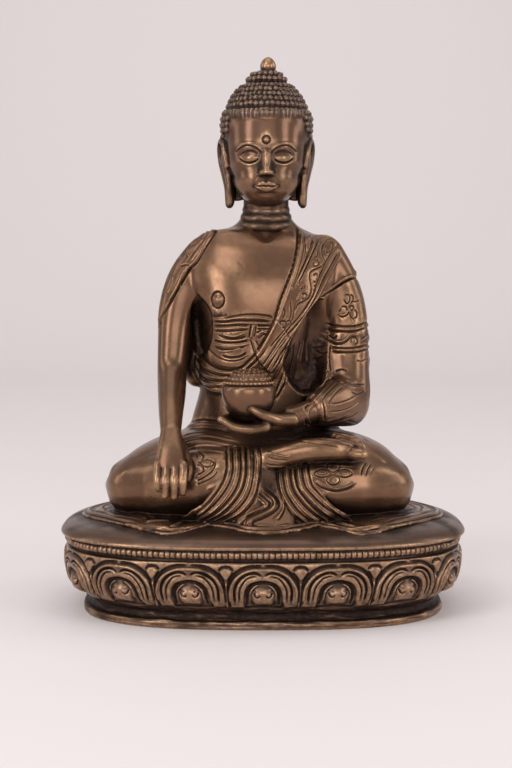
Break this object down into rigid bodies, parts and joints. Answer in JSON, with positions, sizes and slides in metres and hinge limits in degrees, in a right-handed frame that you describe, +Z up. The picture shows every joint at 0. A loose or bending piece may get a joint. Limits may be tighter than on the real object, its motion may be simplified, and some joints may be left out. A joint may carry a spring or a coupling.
{
  "type": "bronze seated buddha figure",
  "caption": "Cast bronze statuette of a robed figure seated cross-legged in meditation on an oval lotus plinth, a covered alms bowl in its lap and the other hand reaching down to the ground.",
  "frame": {"origin": "centre of the flat underside of the plinth", "axes": "+Z up, +X towards the figure's left, -Y the way the figure faces"},
  "size_m": [0.1618, 0.1126, 0.22],
  "materials": {
    "figure_bronze": "satin brown patina, dark in the recesses and worn golden on the ridges",
    "base_bronze": "satin brown patina, dark in the recesses and worn golden on the ridges"
  },
  "bodies": {
    "root": {"lotus_base": "base_bronze", "seated_figure": "figure_bronze"}
  },
  "joints": []
}
